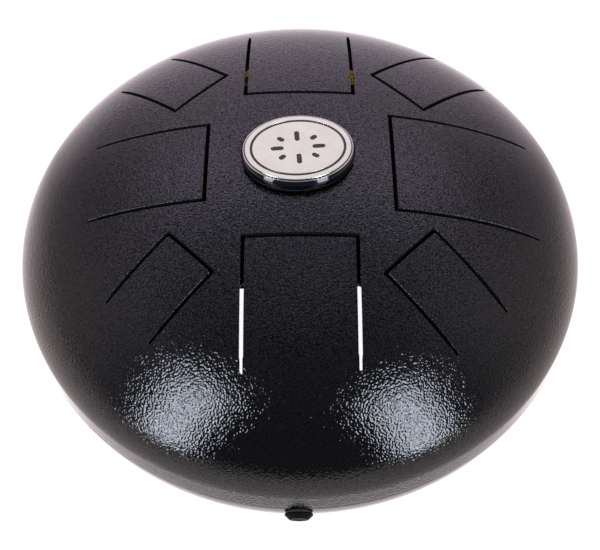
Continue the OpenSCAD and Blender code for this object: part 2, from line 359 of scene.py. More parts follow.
def make_dome(mats):
    slots, loops, chains = [], [], []
    ring = 720
    th = 2 * np.pi * np.arange(ring) / ring
    loops.append(PLAN_R * np.stack([np.sin(th), -np.cos(th)], -1))
    for name, az, w, ri, end, skew, saw_l, saw_r in TONGUES:
        p, n, i_r, i_l, rr = slot_outline(w, ri, end, skew, saw_l, saw_r)
        pw, nw = to_plan(p, az), to_plan(n, az)
        off = pw + EDGE * nw
        half = w / 2 - SAW / 2 - EDGE
        k = int(math.ceil(2 * half / 1.5))
        seam = to_plan(np.stack([np.linspace(half, -half, k + 1)[1:-1], np.full(k - 1, rr)], -1), az)
        slots.append(dict(name=name, az=az, p=pw, n=nw, off=off, i_r=i_r, i_l=i_l, rr=rr, ri=ri, seam=seam,
                          rows=edge_rows(pw, nw)))
        loops.append(off)
    pts, edges, ids = triangulate(loops, [], [])
    for s, run in zip(slots, ids[1:]):
        s["loop"] = run
        k = len(pts)
        pts += [tuple(v) for v in s["seam"]]
        chain = [run[s["i_r"]]] + list(range(k, k + len(s["seam"]))) + [run[s["i_l"]]]
        edges += list(zip(chain, chain[1:]))
        s["chain"] = chain
        # the tongue's own outline: from its right root, round the free end, to its left root
        s["tongue_poly"] = np.array([pts[i] for i in run[s["i_r"]:s["i_l"] + 1]])
    # loose points on a staggered grid, clear of the outlines
    pitch = 2.3
    fixed = np.array(pts)
    cell = {}
    for x, y in fixed:
        cell.setdefault((int(x // 2), int(y // 2)), []).append((x, y))
    rows = int(PLAN_R / (pitch * 0.866)) + 1
    grid = np.array([((i + 0.5 * (j % 2)) * pitch, j * pitch * 0.866)
                     for j in range(-rows, rows + 1) for i in range(-rows - 2, rows + 3)])
    grid = grid[np.hypot(grid[:, 0], grid[:, 1]) < PLAN_R - 1.3]
    for s in slots:
        grid = grid[~inside(s["off"], grid)]
    keep = []
    for x, y in grid:
        cx, cy = int(x // 2), int(y // 2)
        near = [q for i in (-1, 0, 1) for j in (-1, 0, 1) for q in cell.get((cx + i, cy + j), ())]
        if all((x - a) ** 2 + (y - b) ** 2 > 1.15 ** 2 for a, b in near):
            keep.append((x, y))
    pts += keep
    tri = cdt(pts, edges)
    P = np.array(pts)
    mid = P[tri].mean(1)
    owner = np.full(len(tri), -1)
    for i, s in enumerate(slots):
        owner[inside(s["off"], mid)] = -2
        owner[inside(s["tongue_poly"], mid)] = i

    outer, outer_n = dome_point(P)
    inner, inner_n = dome_point(P, True)

    def surfaces(b, mine):
        used = np.unique(tri[mine])
        o = dict(zip(used.tolist(), b.add(outer[used], outer_n[used]).tolist()))
        i = dict(zip(used.tolist(), b.add(inner[used], inner_n[used]).tolist()))
        for t in tri[mine]:
            b.face([o[v] for v in t])
            b.face([i[v] for v in t], 1)
        return o, i

    def walls(b, s, run, o, i):
        """Slot walls along outline indices, between the outer and the inner face."""
        loop = s["loop"]
        k = len(loop)
        rows = s["rows"]
        idx = [j % k for j in run]
        ids = [[o[loop[j]] for j in idx]]
        for p, n in rows[1:-1]:
            ids.append(b.add(p[idx], n[idx]).tolist())
        ids.append([i[loop[j]] for j in idx])
        for row, (u, v) in enumerate(zip(ids, ids[1:])):
            b.strip(u, v, False, int(row >= EDGE_K))
        return ids

    def root_wall(b, s, o, i, right, left, out):
        """Closes the steel at the root line. right and left are the edge points there."""
        ch = s["chain"]
        for u, v in zip(ch, ch[1:]):
            b.face((o[u], o[v], i[v], i[u]), 0, out)
        for col in (right, left):
            b.face(col, 0, out)

    # the shell
    b = Build()
    o, i = surfaces(b, owner == -1)
    for s in slots:
        k = len(s["loop"])
        run = list(range(s["i_l"], s["i_r"] + k + 1))
        ids = walls(b, s, run, o, i)
        out = np.append(to_plan(np.array([0.0, -1.0]), s["az"]), 0)
        root_wall(b, s, o, i, [row[-1] for row in ids], [row[0] for row in ids], out)
    circle = ids_ring = list(range(ring))
    a0 = math.acos(PLAN_R / BODY_R)
    out_path = [(BODY_R * math.cos(a), SKIRT_Z + DOME_H * math.sin(a)) for a in np.linspace(a0, 0, 40)[1:]]
    out_nrm = [unit((math.cos(a) / BODY_R, math.sin(a) / DOME_H)) for a in np.linspace(a0, 0, 40)[1:]]
    for z in np.linspace(SKIRT_Z, EQ_Z + WELD_H / 2, 5)[1:]:
        out_path.append((BODY_R, z))
        out_nrm.append((1, 0))
    ai, h_in = math.acos(PLAN_R / IN_R), DOME_H - WALL
    in_path = [(IN_R * math.cos(a), SKIRT_Z + h_in * math.sin(a)) for a in np.linspace(ai, 0, 24)[1:]]
    in_nrm = [-unit((math.cos(a) / IN_R, math.sin(a) / h_in)) for a in np.linspace(ai, 0, 24)[1:]]
    for z in np.linspace(SKIRT_Z, EQ_Z + WELD_H / 2, 4)[1:]:
        in_path.append((IN_R, z))
        in_nrm.append((-1, 0))
    rows = revolve(b, out_path, out_nrm, ring)
    b.strip([o[v] for v in circle], rows[0])
    rows_in = revolve(b, in_path, in_nrm, ring, 1)
    b.strip([i[v] for v in circle], rows_in[0], True, 1)
    b.strip(rows[-1], rows_in[-1], True, 0, (0, 0, -1))
    made = {"shell": b.make("upper_shell_coated", mats)}

    # the tongues
    for num, s in enumerate(slots):
        b = Build()
        o, i = surfaces(b, owner == num)
        ids = walls(b, s, list(range(s["i_r"], s["i_l"] + 1)), o, i)
        out = np.append(to_plan(np.array([0.0, 1.0]), s["az"]), 0)
        root_wall(b, s, o, i, [row[0] for row in ids], [row[-1] for row in ids], out)
        made[s["name"]] = b.make(s["name"] + "_coated", mats)
    return made, slots


# ---------------------------------------------------------------- node helpers
def new_material(name):
    m = bpy.data.materials.new(name)
    m.use_nodes = True
    nt = m.node_tree
    nt.nodes.clear()
    out = nt.nodes.new("ShaderNodeOutputMaterial")
    bsdf = nt.nodes.new("ShaderNodeBsdfPrincipled")
    nt.links.new(bsdf.outputs["BSDF"], out.inputs["Surface"])
    coord = nt.nodes.new("ShaderNodeTexCoord")
    return m, nt, bsdf, coord.outputs["Object"]


def noise(nt, vec, scale, detail=2.0, rough=0.5, distortion=0.0):
    n = nt.nodes.new("ShaderNodeTexNoise")
    n.inputs["Scale"].default_value = scale
    n.inputs["Detail"].default_value = detail
    n.inputs["Roughness"].default_value = rough
    n.inputs["Distortion"].default_value = distortion
    nt.links.new(vec, n.inputs["Vector"])
    return n.outputs["Fac"]


def ramp(nt, fac, stops, colour=False):
    r = nt.nodes.new("ShaderNodeValToRGB")
    el = r.color_ramp.elements
    while len(el) < len(stops):
        el.new(0.5)
    for e, (pos, v) in zip(el, stops):
        e.position = pos
        e.color = (*v, 1) if colour else (v, v, v, 1)
    nt.links.new(fac, r.inputs["Fac"])
    return r.outputs["Color"]


def math_node(nt, op, a, b=None, c=None):
    n = nt.nodes.new("ShaderNodeMath")
    n.operation = op
    for i, v in enumerate((a, b, c)):
        if v is None:
            continue
        if isinstance(v, (int, float)):
            n.inputs[i].default_value = v
        else:
            nt.links.new(v, n.inputs[i])
    return n.outputs[0]


def span(nt, fac, lo, hi, a=0.0, b=1.0):
    n = nt.nodes.new("ShaderNodeMapRange")
    n.inputs["From Min"].default_value = a
    n.inputs["From Max"].default_value = b
    n.inputs["To Min"].default_value = lo
    n.inputs["To Max"].default_value = hi
    nt.links.new(fac, n.inputs["Value"])
    return n.outputs["Result"]


def bump(nt, bsdf, height, distance, strength=1.0, normal=None, socket="Normal"):
    b = nt.nodes.new("ShaderNodeBump")
    b.inputs["Strength"].default_value = strength
    b.inputs["Distance"].default_value = distance
    nt.links.new(height, b.inputs["Height"])
    if normal is not None:
        nt.links.new(normal, b.inputs["Normal"])
    if bsdf is not None:
        nt.links.new(b.outputs["Normal"], bsdf.inputs[socket])
    return b.outputs["Normal"]


# ---------------------------------------------------------------- materials
def coat_material():
    """Black textured powder coat: hard gloss over a fine, soft-edged orange peel, about
    1.5 mm from bump to bump, on a slightly wavy ground."""
    m, nt, bsdf, obj = new_material("textured_black_coat")
    peel = noise(nt, obj, 1000, 0.0, 0.5)
    wave = noise(nt, obj, 26, 2.0, 0.5)
    height = math_node(nt, "ADD", math_node(nt, "MULTIPLY", peel, 0.56), math_node(nt, "MULTIPLY", wave, 0.8))
    relief = bump(nt, bsdf, height, 0.00030)
    # seen at a shallow angle only the bumps' smooth tops show
    facing = nt.nodes.new("ShaderNodeLayerWeight")
    facing.inputs["Blend"].default_value = 0.5
    nt.links.new(span(nt, facing.outputs["Facing"], 1.0, 0.3, 0.62, 0.86), relief.node.inputs["Strength"])
    # the finest grains take the gloss unevenly, more so round the crown than on the flank
    out = nt.nodes.new("ShaderNodeVectorMath")
    out.operation = "MULTIPLY"
    out.inputs[1].default_value = (1, 1, 0)
    nt.links.new(obj, out.inputs[0])
    away = nt.nodes.new("ShaderNodeVectorMath")
    away.operation = "LENGTH"
    nt.links.new(out.outputs[0], away.inputs[0])
    uneven = span(nt, away.outputs["Value"], 1.6, 0.8, 0.098, 0.118)
    grain = math_node(nt, "SUBTRACT", noise(nt, obj, 1350, 0.0, 0.5), 0.5)
    gloss = math_node(nt, "ADD", 0.5, math_node(nt, "MULTIPLY", grain, uneven))
    nt.links.new(span(nt, gloss, 0.15, 0.85, 0.15, 0.85), bsdf.inputs["Specular IOR Level"])
    tone = ramp(nt, noise(nt, obj, 34, 4.0, 0.6), [(0.3, (0.0004, 0.0004, 0.0005)), (0.7, (0.0008, 0.0008, 0.0009))], True)
    nt.links.new(tone, bsdf.inputs["Base Color"])
    nt.links.new(span(nt, noise(nt, obj, 300, 3.0, 0.6), 0.04, 0.07, 0.3, 0.7), bsdf.inputs["Roughness"])
    bsdf.inputs["IOR"].default_value = 1.5
    return m


def inside_material():
    """The thin, dull overspray on the inside of the body."""
    m, nt, bsdf, obj = new_material("dull_inside")
    tone = ramp(nt, noise(nt, obj, 60, 4.0, 0.6), [(0.3, (0.0010, 0.0010, 0.0012)), (0.7, (0.0030, 0.0030, 0.0032))], True)
    nt.links.new(tone, bsdf.inputs["Base Color"])
    nt.links.new(span(nt, noise(nt, obj, 200, 3.0, 0.6), 0.62, 0.85, 0.3, 0.7), bsdf.inputs["Roughness"])
    bsdf.inputs["Specular IOR Level"].default_value = 0.18
    bump(nt, bsdf, noise(nt, obj, 900, 2.0, 0.5), 0.00012)
    return m


MAT_COAT = coat_material()
MAT_INSIDE = inside_material()

made, slots = make_dome([MAT_COAT, MAT_INSIDE])
shell = made.pop("shell")
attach(shell, "drum_body")
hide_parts("upper_shell")
for s in slots:
    obj = made[s["name"]]
    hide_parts(s["name"])
    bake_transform(obj)


# ---------------------------------------------------------------- the lower half
def grid_normals(rows, away):
    """Normals of closed rings of points (rows, segments, 3), on the side that away tells."""
    along = np.gradient(rows, axis=0)
    round_ = np.roll(rows, -1, 1) - np.roll(rows, 1, 1)
    n = unit(np.cross(along, round_))
    flip = np.sign((n * away).sum(-1, keepdims=True))
    return n * np.where(flip == 0, 1, flip)


def make_lower(mats):
    """Pressed lower dome with the port's rim ground flat where the drum rests on it."""
    d0, d1 = WELD_H / 2, EQ_Z
    def outline(r, c, top, bottom, k):
        a = np.linspace(math.asin((top / c) ** (LOWER_N / 2)), math.asin((bottom / c) ** (LOWER_N / 2)), k)
        return [(r * math.cos(t) ** (2 / LOWER_N), EQ_Z - c * math.sin(t) ** (2 / LOWER_N)) for t in a]
    out = outline(BODY_R, LOWER_H, d0, d1, 110)
    d_in = low_depth(PORT_R, IN_R, IN_LOWER_H)
    inn = outline(IN_R, IN_LOWER_H, d0, d_in, 70)[::-1]
    path = out + [(PORT_R, 0)] + inn
    radii = [0.0] * len(path)
    radii[len(out) - 1], radii[len(out)], radii[len(out) + 1] = 0.5, 0.4, 0.4
    path = rounded(path, radii, 5)
    nrm = path_normals(path, side=-1)
    nrm[0], nrm[-1] = (1, 0), (-1, 0)
    b = Build()
    port = next(i for i, q in enumerate(path) if i > len(out) and q[1] > 0.3)
    rows = revolve(b, path, nrm, 720, lambda row: int(row >= port))
    b.strip(rows[0], rows[-1], True, 0, (0, 0, 1))
    return b.make("lower_shell_coated", mats)


def make_weld(mat):
    """The weld at the widest line: ground almost flush outside, a rippled bead inside."""
    segs = 1080
    th = 2 * np.pi * np.arange(segs) / segs
    zs = np.linspace(WELD_H / 2, -WELD_H / 2, 9)
    wander = 0.5 + 0.2 * np.sin(7 * th + 0.4) + 0.15 * np.sin(17 * th + 2.1) + 0.1 * np.sin(41 * th + 1.0)
    outer = []
    for z in zs:
        dip = 0.10 * math.cos(math.pi * z / WELD_H) ** 2
        r = BODY_R - dip * wander
        outer.append(np.stack([r * np.sin(th), -r * np.cos(th), np.full(segs, EQ_Z + z)], -1))
    outer = np.array(outer)
    radial = np.stack([np.sin(th), -np.cos(th), np.zeros(segs)], -1)
    b = Build()
    n = grid_normals(outer, radial[None])
    n[0], n[-1] = radial, radial
    rows = [b.add(p, q) for p, q in zip(outer, n)]
    for u, v in zip(rows, rows[1:]):
        b.strip(u, v)
    bead = []
    scallop = 1 + 0.10 * np.sin(150 * th + 3 * np.sin(9 * th))
    for t in np.linspace(-90, 90, 11):
        c, s_ = math.cos(math.radians(t)), math.sin(math.radians(t))
        r = IN_R - WELD_H / 2 * c * scallop
        bead.append(np.stack([r * np.sin(th), -r * np.cos(th), np.full(segs, EQ_Z + WELD_H / 2 * s_)], -1))
    bead = np.array(bead)
    n = grid_normals(bead, -radial[None] + 0 * bead)
    inner = [b.add(p, q) for p, q in zip(bead, n)]
    for u, v in zip(inner, inner[1:]):
        b.strip(u, v)
    b.strip(rows[0], inner[-1], True, 0, (0, 0, 1))
    b.strip(rows[-1], inner[0], True, 0, (0, 0, -1))
    return b.make("seam_weld_ground", [mat])


# ---------------------------------------------------------------- the badge
def oval(a, b, segs):
    th = 2 * np.pi * np.arange(segs) / segs
    p = np.stack([a * np.cos(th), b * np.sin(th)], -1)
    n = unit(np.stack([np.cos(th) / a, np.sin(th) / b], -1))
    return p, n


def sweep(b, a_, b_, path, nrm, segs, mat=0, cap=(None, None), closed=False):
    """Runs a section (inset, height) round an oval. cap gives flat lids for its two ends."""
    p0, n0 = oval(a_, b_, segs)
    rows = []
    for (d, z), (nd, nz) in zip(path, nrm):
        p = np.concatenate([p0 - d * n0, np.full((segs, 1), z)], 1)
        n = np.concatenate([nd * n0, np.full((segs, 1), nz)], 1)
        rows.append(b.add(p, n))
    for u, v in list(zip(rows, rows[1:])) + ([(rows[-1], rows[0])] if closed else []):
        b.strip(u, v, True, mat)
    for row, flat in ((rows[0], cap[0]), (rows[-1], cap[1])):
        if flat is not None:
            lid(b, row, p0, flat, mat)
    return rows


def lid(b, row, plan, up, mat=0):
    """Closes a flat ring of points with rings that shrink to its middle."""
    pts = np.concatenate(b.p)[row]
    mid = pts.mean(0)
    last = row
    for f in (0.75, 0.5, 0.25):
        ring = b.add(mid + (pts - mid) * f, np.repeat([[0, 0, up]], len(row), 0))
        b.strip(last, ring, True, mat, (0, 0, up))
        last = ring
    c = b.add(mid, (0, 0, up))[0]
    for i in range(len(row)):
        b.face((last[i], last[(i + 1) % len(row)], c), mat, (0, 0, up))


BASE_Z = CROWN_Z + PAD_T
PLATE_TOP = RIM_Z + 0.25
GROOVE = 0.85      # depth of the dark groove between the bezel and the plate
TURN = np.array([[math.cos(math.radians(BADGE_TURN)), -math.sin(math.radians(BADGE_TURN)), 0],
                 [math.sin(math.radians(BADGE_TURN)), math.cos(math.radians(BADGE_TURN)), 0], [0, 0, 1.0]])


def on_crown(p):
    """Where the badge was laid on by hand: a little off the axis and turned."""
    return np.asarray(p, float) @ TURN.T + (BADGE_X, BADGE_Y, 0)


def make_on_crown(b, name, mats):
    """Makes an object of pieces that are built about the badge's own middle."""
    b.p = [on_crown(p) for p in b.p]
    b.n = [n @ TURN.T for n in b.n]
    return b.make(name, mats)


BAND = ((1.07, -0.46), (1.52, -0.21))      # the bright line's section: inset, height over the rim


def make_badge_base(black):
    """Black glossy puck with a rolled shoulder, a groove round the plate and a pocket under it."""
    pocket = BADGE_RIM - 0.04
    # the shoulder leans in from 17 to 33 degrees along a wide arc
    a = np.radians(np.linspace(17, 33, 9))
    r = 9.1
    roll = [(r * (math.cos(a[0]) - math.cos(v)), RIM_Z - 2.755 + r * (math.sin(v) - math.sin(a[0]))) for v in a]
    tail = [(1.14, RIM_Z - 0.64), (1.55, RIM_Z - 0.64), (1.55, RIM_Z - GROOVE), (pocket, RIM_Z - GROOVE),
            (pocket, RIM_Z - PLATE_T - 0.02), (4.0, RIM_Z - PLATE_T - 0.02)]
    path = rounded([(3.0, BASE_Z), (0.0, BASE_Z)] + roll + tail,
                   [0, 0.18, 0.9] + [0] * (len(roll) - 2) + [0.05, 0.06, 0.05, 0.06, 0.05, 0.05, 0], 6)
    # the section's inset grows inwards
    nrm = path_normals(path, side=-1) * (-1, 1)
    b = Build()
    sweep(b, BADGE_A, BADGE_B, path, nrm, 256, 0, (-1, 1))
    return make_on_crown(b, "badge_puck", [black])


def make_bezel(metal):
    """Thin slanted bright line round the top edge of the puck, softly crowned."""
    lo, hi, r = np.array(BAND[0]), np.array(BAND[1]), 2.2
    mid, d = (lo + hi) / 2, unit(hi - lo)
    up = np.array([-d[1], d[0]])
    half = np.linalg.norm(hi - lo) / 2
    c = mid - up * math.sqrt(r * r - half * half)
    t0 = math.asin(half / r)
    turn = np.linspace(-t0, t0, 7)
    path = [c + r * (math.cos(a) * up + math.sin(a) * d) for a in turn]
    path += [hi + (0.03, -0.06), hi + (0.03, -0.39), lo + (0.06, -0.14), lo + (-0.02, -0.05)]
    path = np.array(path)
    nrm = path_normals(path, closed=True, side=-1)
    nrm[:7] = [math.cos(a) * up + math.sin(a) * d for a in turn]
    b = Build()
    sweep(b, BADGE_A, BADGE_B, [(x, RIM_Z + z) for x, z in path], nrm * (-1, 1), 256, 0, (None, None), True)
    return make_on_crown(b, "badge_bezel", [metal])


def inlay_loops():
    """Outlines of the inlay: an oval line and eight short round-ended bars.
    Each is (points, outward normals of the dark shape, whether it is a hole in it)."""
    out = []
    for inset, hole in ((2.6, False), (3.8, True)):
        p, n = oval(PLATE_A - inset, PLATE_B - inset, 240)
        out.append((p, -n if hole else n, hole))
    for i in range(8):
        ln, inner = (6.4, 4.2) if i % 2 == 0 else (3.8, 6.4)
        half, r, th = (ln - 2.4) / 2, 1.2, math.radians(45 * i)
        loop, nrm = [], []
        for side in (1, -1):
            for t in np.linspace(-90, 90, 19):
                d = side * np.array([math.cos(math.radians(t)), math.sin(math.radians(t))])
                loop.append((side * half + r * d[0], r * d[1]))
                nrm.append(d)
            for f in np.linspace(0, 1, 6)[1:-1]:
                loop.append((side * half * (1 - 2 * f), side * r))
                nrm.append((0, side))
        at = np.array([(inner + ln / 2) * math.cos(th) * 1.4, (inner + ln / 2) * math.sin(th)])
        c, s = unit(at)
        turn = np.array([[c, s], [-s, c]])
        out.append((np.array(loop) @ turn + at, np.array(nrm) @ turn, False))
    return out


def make_plate(metal, dark):
    """Metal plate with cut channels, and the dark inlay that fills them."""
    lip, depth = 0.10, 0.42
    loops = inlay_loops()
    edge = 0.35
    rim, rim_n = oval(PLATE_A, PLATE_B, 256)
    outer = rim - edge * rim_n
    # plate top
    cut = [(p + lip * n) for p, n, _ in loops]
    pts, edges, ids = triangulate([outer] + cut, [], [])
    grid = [(x, y) for x in np.arange(-26, 26.1, 1.3) for y in np.arange(-21, 21.1, 1.3)
            if (x / (PLATE_A - 1)) ** 2 + (y / (PLATE_B - 1)) ** 2 < 1]
    fixed = np.array(pts)
    grid = [g for g in grid if ((fixed - g) ** 2).sum(1).min() > 0.55 ** 2]
    pts = pts + grid
    tri = cdt(pts, edges)
    P = np.array(pts)
    mid = P[tri].mean(1)
    in_line = inside(cut[0], mid) & ~inside(cut[1], mid)
    in_petal = np.zeros(len(mid), bool)
    for q in cut[2:]:
        in_petal |= inside(q, mid)
    solid = inside(outer, mid) & ~in_line & ~in_petal
    b = Build()
    top = b.add(np.concatenate([P, np.full((len(P), 1), PLATE_TOP)], 1), np.repeat([[0, 0, 1.0]], len(P), 0))
    for t in tri[solid]:
        b.face(top[t])
    # its rounded outer edge, side and underside
    path = [(edge * (1 - math.sin(t)), PLATE_TOP - edge * (1 - math.cos(t))) for t in np.radians([22.5, 45, 67.5, 90])]
    nrm = [(math.sin(t), math.cos(t)) for t in np.radians([22.5, 45, 67.5, 90])]
    path.append((0, RIM_Z - PLATE_T))
    nrm.append((1, 0))
    rows = sweep(b, PLATE_A, PLATE_B, path, nrm, 256)
    b.strip([top[v] for v in ids[0]], rows[0])
    under = b.add(np.concatenate([P[ids[0]], np.full((256, 1), RIM_Z - PLATE_T)], 1), np.repeat([[0, 0, -1.0]], 256, 0))
    b.strip(rows[-1], under, True, 0, (0, 0, -1))
    lid(b, under, None, -1)
    # channels
    for (p, n, hole), run in zip(loops, ids[1:]):
        last = [top[v] for v in run]
        for t in (45, 90):
            a = math.radians(t)
            q = p + lip * (1 - math.sin(a)) * n
            nn = np.concatenate([-math.sin(a) * n, np.full((len(p), 1), math.cos(a))], 1)
            row = b.add(np.concatenate([q, np.full((len(p), 1), PLATE_TOP - lip * (1 - math.cos(a)))], 1), nn)
            b.strip(last, row)
            last = row
        row = b.add(np.concatenate([p, np.full((len(p), 1), PLATE_TOP - depth)], 1),
                    np.concatenate([-n, np.zeros((len(p), 1))], 1))
        b.strip(last, row)
        loops_low = row
        if not hole and len(p) < 100:
            lid(b, row, None, 1)
        elif not hole:
            line_out = row
        else:
            k, m = len(line_out), len(row)
            b.strip(line_out, row, True, 0, (0, 0, 1))
    plate = make_on_crown(b, "badge_plate_metal", [metal])

    # the inlay: softly crowned, a hair lower than the plate
    b = Build()
    low, sink, gap = PLATE_TOP - depth + 0.02, 0.05, 0.03
    line = []
    for p, n, hole in loops:
        q = p - gap * n
        if len(p) < 100:
            mid = q.mean(0)
            rows = [b.add(np.concatenate([q, np.full((len(q), 1), low)], 1), np.concatenate([n, np.zeros((len(q), 1))], 1))]
            for d, h, tilt in ((0.0, 0.10, 0.95), (0.03, 0.05, 0.70), (0.10, 0.02, 0.30), (0.30, 0.006, 0.10), (0.65, 0.0, 0.03)):
                z = PLATE_TOP - sink - h
                rows.append(b.add(np.concatenate([q - d * n, np.full((len(q), 1), z)], 1),
                                  unit(np.concatenate([tilt * n, np.full((len(q), 1), math.sqrt(1 - tilt ** 2))], 1))))
            for u, v in zip(rows, rows[1:]):
                b.strip(u, v)
            c = b.add((mid[0], mid[1], PLATE_TOP - sink), (0, 0, 1))[0]
            for i in range(len(q)):
                b.face((rows[-1][i], rows[-1][(i + 1) % len(q)], c))
            lid(b, rows[0], None, -1)
        else:
            line.append((q, n))
    (qo, no), (qi, ni) = line
    rows = []
    width = np.linalg.norm(qo - qi, axis=1).mean()
    for q, n, steps in ((qo, no, ((0, None), (0, 0.10), (0.06, 0.04), (0.2, 0.012), (0.5, 0.0))),
                        (qi, ni, ((0.2, 0.012), (0.06, 0.04), (0, 0.10), (0, None)))):
        for f, h in steps:
            z = low if h is None else PLATE_TOP - sink - h
            tilt = 1.0 if h is None else min(0.95, h * 9)
            pt = q - f * width * n
            rows.append(b.add(np.concatenate([pt, np.full((len(q), 1), z)], 1),
                              np.concatenate([tilt * n, np.full((len(q), 1), math.sqrt(max(0, 1 - tilt ** 2)))], 1)))
    for u, v in zip(rows, rows[1:]):
        b.strip(u, v)
    b.strip(rows[-1], rows[0], True, 0, (0, 0, -1))
    return plate, make_on_crown(b, "badge_inlay_dark", [dark])


def make_pad(foam):
    """Foam pad between the puck and the crown: flat on top, hollowed to the dome below."""
    b = Build()
    segs = 200
    p0, n0 = oval(BADGE_A - 0.9, BADGE_B - 0.9, segs)


    def dome_under(q):
        """The dome's height under points of the badge's own plan."""
        flat = np.concatenate([q, np.zeros((len(q), 1))], 1)
        return dome_point(on_crown(flat)[:, :2])[0][:, 2] + 0.02
    bottom = np.concatenate([p0, dome_under(p0)[:, None]], 1)
    rows = []
    for f in np.linspace(0, 1, 6):
        bulge = 0.35 * math.sin(math.pi * f)
        z = bottom[:, 2] * (1 - f) + BASE_Z * f
        rows.append(b.add(np.concatenate([p0 + bulge * n0, z[:, None]], 1),
                          unit(np.concatenate([n0, np.full((segs, 1), -0.35 * math.cos(math.pi * f))], 1))))
    for u, v in zip(rows, rows[1:]):
        b.strip(u, v)
    lid(b, rows[-1], None, 1)
    last, start = rows[0], p0
    for f in (0.8, 0.6, 0.4, 0.2):
        q = np.concatenate([p0 * f, dome_under(p0 * f)[:, None]], 1)
        ring = b.add(q, np.repeat([[0, 0, -1.0]], segs, 0))
        b.strip(last, ring, True, 0, (0, 0, -1))
        last = ring
    c = b.add((0, 0, dome_under(np.zeros((1, 2)))[0]), (0, 0, -1))[0]
    for i in range(segs):
        b.face((last[i], last[(i + 1) % segs], c), 0, (0, 0, -1))
    return make_on_crown(b, "badge_foam_pad", [foam])


# ---------------------------------------------------------------- bumpers and label
BUMP_X = float(low_radius(BUMPER_DROP, BODY_R, LOWER_H))
BUMP_LEAN = math.atan2((BUMPER_DROP / LOWER_H) ** (LOWER_N - 1) / LOWER_H, (BUMP_X / BODY_R) ** (LOWER_N - 1) / BODY_R)


def on_flank(az):
    """Moves a thing whose axis is +Z to the flank, standing off the body."""
    az += BUMPER_TURN
    m = Matrix.Rotation(math.radians(az), 3, "Z") @ Matrix.Rotation(math.pi / 2 + BUMP_LEAN, 3, "X")
    m = np.array(m)
    at = np.array(Matrix.Rotation(math.radians(az), 3, "Z") @ Vector((0, -BUMP_X, EQ_Z - BUMPER_DROP)))
    return lambda p, is_normal=False: p @ m.T + (0 if is_normal else at)


def make_bumper(name, az, rubber):
    """Tapered moulded rubber bumper with rounded edges and a shallow dish in its tip."""
    g = GLUE_T
    path = rounded([(0, g), (BUMPER_R, g), (BUMPER_R, g + 0.70), (BUMPER_TIP_R, BUMPER_H), (2.6, BUMPER_H),
                    (2.2, BUMPER_H - 0.22), (0, BUMPER_H - 0.22)], [0, 0.2, 0.25, 0.35, 0.3, 0.25, 0], 6)
    nrm = path_normals(path, side=1)
    nrm[0], nrm[-1] = (0, -1), (0, 1)
    b = Build()
    revolve(b, path, nrm, 96, place=on_flank(az))
    return b.make(name, [rubber])


def make_bumper_pads(adhesive):
    """Soft adhesive discs that follow the body's curve under the bumpers."""
    b = Build()
    segs = 72
    th = 2 * np.pi * np.arange(segs) / segs
    for az in (0, 120, 240):
        place = on_flank(az)
        rad = np.array(Matrix.Rotation(math.radians(az + BUMPER_TURN), 3, "Z") @ Vector((0, -1, 0)))

        def on_body(p):
            """Moves points along the bumper's axis onto the body."""
            axis = place(np.array([[0, 0, 1.0]]), True)[0]
            p = place(p)
            for _ in range(6):
                r = np.hypot(p[:, 0], p[:, 1])
                d = np.maximum(EQ_Z - p[:, 2], 1e-6)
                want = low_radius(d, BODY_R, LOWER_H)
                p = p + ((want - r) / max(0.5, axis @ rad))[:, None] * axis
            return p
        ring = lambda r, z: np.stack([r * np.cos(th), r * np.sin(th), np.full(segs, z)], -1)
        side = place(np.stack([np.cos(th), np.sin(th), 0 * th], -1), True)
        up = place(np.repeat([[0, 0, 1.0]], segs, 0), True)
        low = on_body(ring(BUMPER_R - 0.5, 0.0)) + 0.03 * up
        top = place(ring(BUMPER_R - 0.5, GLUE_T))
        rows = []
        for f in np.linspace(0, 1, 5):
            rows.append(b.add(low * (1 - f) + top * f + 0.12 * math.sin(math.pi * f) * side, side))
        for u, v in zip(rows, rows[1:]):
            b.strip(u, v)
        for row, flip, back in ((rows[0], -1, True), (rows[-1], 1, False)):
            last = row
            for f in (0.66, 0.33, 0.0):
                q = ring((BUMPER_R - 0.5) * f, GLUE_T if not back else 0.0)
                q = on_body(q) + 0.03 * up if back else place(q)
                if f == 0.0:
                    c = b.add(q[0], flip * up[0])[0]
                    for i in range(segs):
                        b.face((last[i], last[(i + 1) % segs], c))
                else:
                    nxt = b.add(q, flip * up)
                    b.strip(last, nxt, True, 0, tuple(flip * up[0]))
                    last = nxt
    return b.make("bumper_adhesive_pads", [adhesive])


